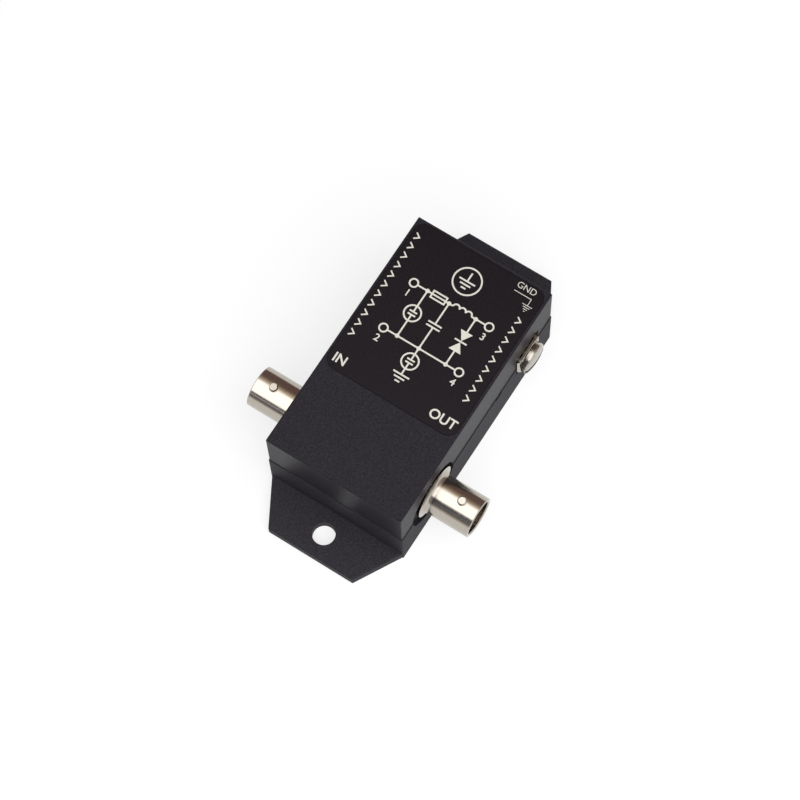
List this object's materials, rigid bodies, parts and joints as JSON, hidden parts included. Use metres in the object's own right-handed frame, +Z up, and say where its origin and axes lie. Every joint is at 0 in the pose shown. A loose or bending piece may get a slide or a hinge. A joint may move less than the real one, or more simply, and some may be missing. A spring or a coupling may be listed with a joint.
{
  "type": "coax lightning arrestor",
  "caption": "Black split housing with bayonet coaxial jacks on its long sides, a ground clamp screw and end tabs with screw holes, for surge protection of a coaxial line.",
  "frame": {"origin": "middle of the housing's flat underside", "axes": "+X towards the protected jack and the ground terminal, +Y along the housing towards the ground end, +Z up out of the label"},
  "size_m": [0.0568, 0.0826, 0.0267],
  "materials": {
    "housing": "moulded ABS with a fine spark-eroded texture",
    "label": "satin printed polyester overlay",
    "nickel": "bright nickel plate on a die-cast shell",
    "insulator": "white moulded insulator",
    "contact": "plated brass",
    "board": "solder mask on glass-epoxy board",
    "plated_steel": "nickel-plated steel",
    "ceramic": "ceramic with metal caps",
    "winding": "enamelled copper on a drum core",
    "fuse_coat": "dipped epoxy coat",
    "capacitor_case": "moulded case",
    "diode_case": "moulded epoxy",
    "resistor_coat": "lacquered film resistor"
  },
  "bodies": {
    "root": {"cover": "housing", "base": "housing", "label": "label", "out_shell": "nickel", "in_shell": "nickel", "out_insulator": "insulator", "in_insulator": "insulator", "out_contact": "contact", "in_contact": "contact", "circuit_board": "board", "ground_lug": "contact", "line_gas_tube": "ceramic", "shield_gas_tube": "ceramic", "line_coil": "winding", "resettable_fuse": "fuse_coat", "film_capacitor": "capacitor_case", "line_diode": "diode_case", "supply_diode": "diode_case", "bleed_resistor": "resistor_coat", "housing_screws": "plated_steel"},
    "clamp": {"clamp_plate": "plated_steel"},
    "screw": {"ground_screw": "plated_steel"}
  },
  "joints": [
    {"name": "clamp_slide", "type": "slide", "parent": "root", "child": "clamp", "axis": [1, 0, 0], "range_m": [0, 0.00317]},
    {"name": "screw_turn", "type": "hinge", "parent": "clamp", "child": "screw", "pos_m": [0.0171, 0.0199, 0.01325], "axis": [1, 0, 0], "range_deg": [0, 1440]}
  ],
  "couplings": [
    {"joint": "screw_turn", "follows": "clamp_slide", "rad_per_m": 7915.7}
  ]
}
